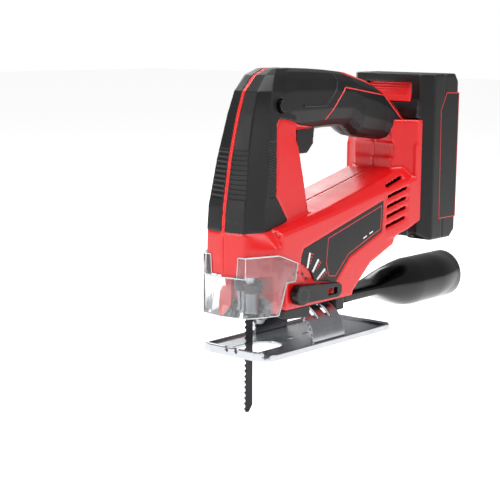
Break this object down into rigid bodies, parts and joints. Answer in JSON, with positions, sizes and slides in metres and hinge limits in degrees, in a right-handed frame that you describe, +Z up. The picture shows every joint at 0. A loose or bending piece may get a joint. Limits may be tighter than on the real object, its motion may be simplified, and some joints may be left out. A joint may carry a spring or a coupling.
{
  "type": "jigsaw power tool",
  "caption": "Cordless jigsaw with a D-shaped handle, slide-on battery, tilting sole plate, orbital lever, clear blade cover and dust tube.",
  "frame": {"origin": "on the blade line at the underside of the sole plate, in the middle of its width", "axes": "+X to the battery (rear), -X is the cutting direction, -Y is the tool's left side, +Z up"},
  "size_m": [0.2832, 0.076, 0.2457],
  "materials": {
    "red_abs": "satin moulded",
    "soft_grip": "fine matt",
    "label_black": "satin film",
    "black_plastic": "moulded",
    "steel": "bright zinc plated",
    "die_cast": "as cast",
    "bronze": "sintered",
    "brass": "bright",
    "ferrite": "sintered",
    "circuit_board": "lacquered",
    "cell_can": "shrink sleeve",
    "blade_steel": "black oxide",
    "clear_cover": "clear polycarbonate"
  },
  "bodies": {
    "housing": {"left_housing": "red_abs", "right_housing": "red_abs", "left_grip": "soft_grip", "right_grip": "soft_grip", "left_label": "label_black", "right_label": "label_black", "housing_screws": "steel", "gear_case": "die_cast", "gear_axle": "steel", "lower_bush": "bronze", "upper_bush": "bronze", "motor_can": "steel", "motor_end_cap": "black_plastic", "front_bearing": "steel", "rear_bearing": "steel", "motor_magnets": "ferrite", "carbon_brushes": "ferrite", "fork_pin": "steel", "switch_body": "black_plastic", "trigger_spring": "steel", "lock_spring": "steel", "control_board": "circuit_board", "board_carrier": "black_plastic", "battery_rail": "black_plastic", "battery_terminals": "brass", "foot_seat": "black_plastic"},
    "rotor": {"armature": "steel", "cooling_fan": "black_plastic", "pinion": "steel"},
    "gear": {"drive_gear": "steel"},
    "plunger": {"plunger": "steel", "clamp_body": "steel", "clamp_spring": "steel", "saw_blade": "blade_steel"},
    "clamp": {"clamp_collar": "black_plastic"},
    "fork": {"roller_fork": "die_cast", "roller_pin": "steel"},
    "roller": {"guide_roller": "steel"},
    "lever": {"orbital_lever": "black_plastic"},
    "trigger": {"trigger": "black_plastic"},
    "lock": {"lock_button": "black_plastic"},
    "guard": {"blade_guard": "clear_cover"},
    "base_clamp": {"clamp_plate": "steel", "base_screws": "steel", "seat_nuts": "steel"},
    "sole": {"sole_plate": "steel", "tilt_bracket": "steel"},
    "dust_tube": {"dust_tube": "black_plastic"},
    "battery": {"battery_front_case": "black_plastic", "battery_rear_case": "black_plastic", "battery_cells": "cell_can", "cell_holder": "black_plastic", "battery_contacts": "brass", "release_spring": "steel"},
    "release": {"release_button": "red_abs"}
  },
  "joints": [
    {"name": "gear_spin", "type": "hinge", "parent": "housing", "child": "gear", "pos_m": [0.036, 0.009, 0.071], "axis": [0, 1, 0], "continuous": true},
    {"name": "rotor_spin", "type": "hinge", "parent": "housing", "child": "rotor", "pos_m": [0.036, 0, 0.071], "axis": [0.9848, 0, 0.1736], "continuous": true},
    {"name": "blade_stroke", "type": "slide", "parent": "housing", "child": "plunger", "axis": [0, 0, 1], "range_m": [0, 0.02]},
    {"name": "clamp_twist", "type": "hinge", "parent": "plunger", "child": "clamp", "pos_m": [0, 0, 0.047], "axis": [0, 0, 1], "range_deg": [0, 60], "stiffness_Nm_per_rad": 0.01},
    {"name": "fork_swing", "type": "hinge", "parent": "housing", "child": "fork", "pos_m": [0.0215, 0, 0.0385], "axis": [0, 1, 0], "range_deg": [-6, 0], "stiffness_Nm_per_rad": 0.3},
    {"name": "roller_spin", "type": "hinge", "parent": "fork", "child": "roller", "pos_m": [0.0103, 0, 0.025], "axis": [0, 1, 0], "continuous": true},
    {"name": "orbit_lever_turn", "type": "hinge", "parent": "housing", "child": "lever", "pos_m": [0.014, -0.034, 0.044], "axis": [0, -1, 0], "range_deg": [0, 66]},
    {"name": "trigger_press", "type": "slide", "parent": "housing", "child": "trigger", "axis": [0, 0, 1], "range_m": [0, 0.006], "stiffness_N_per_m": 600, "deforming": ["trigger_spring"]},
    {"name": "lock_press", "type": "slide", "parent": "housing", "child": "lock", "axis": [0, 1, 0], "range_m": [0, 0.003], "stiffness_N_per_m": 400, "deforming": ["lock_spring"]},
    {"name": "guard_pull", "type": "slide", "parent": "housing", "child": "guard", "axis": [-1, 0, 0], "range_m": [0, 0.035]},
    {"name": "base_shift", "type": "slide", "parent": "housing", "child": "base_clamp", "axis": [1, 0, 0], "range_m": [0, 0.006]},
    {"name": "base_tilt", "type": "hinge", "parent": "base_clamp", "child": "sole", "pos_m": [0.057, 0, 0.002], "axis": [1, 0, 0], "range_deg": [-45, 45]},
    {"name": "dust_tube_pull", "type": "slide", "parent": "housing", "child": "dust_tube", "axis": [1, 0, 0], "range_m": [0, 0.04]},
    {"name": "battery_slide", "type": "slide", "parent": "housing", "child": "battery", "axis": [0, 0, 1], "range_m": [0, 0.09]},
    {"name": "release_press", "type": "slide", "parent": "battery", "child": "release", "axis": [1, 0, 0], "range_m": [0, 0.003], "stiffness_N_per_m": 800, "deforming": ["release_spring"]}
  ],
  "couplings": [
    {"joint": "rotor_spin", "follows": "gear_spin", "ratio": -4}
  ]
}
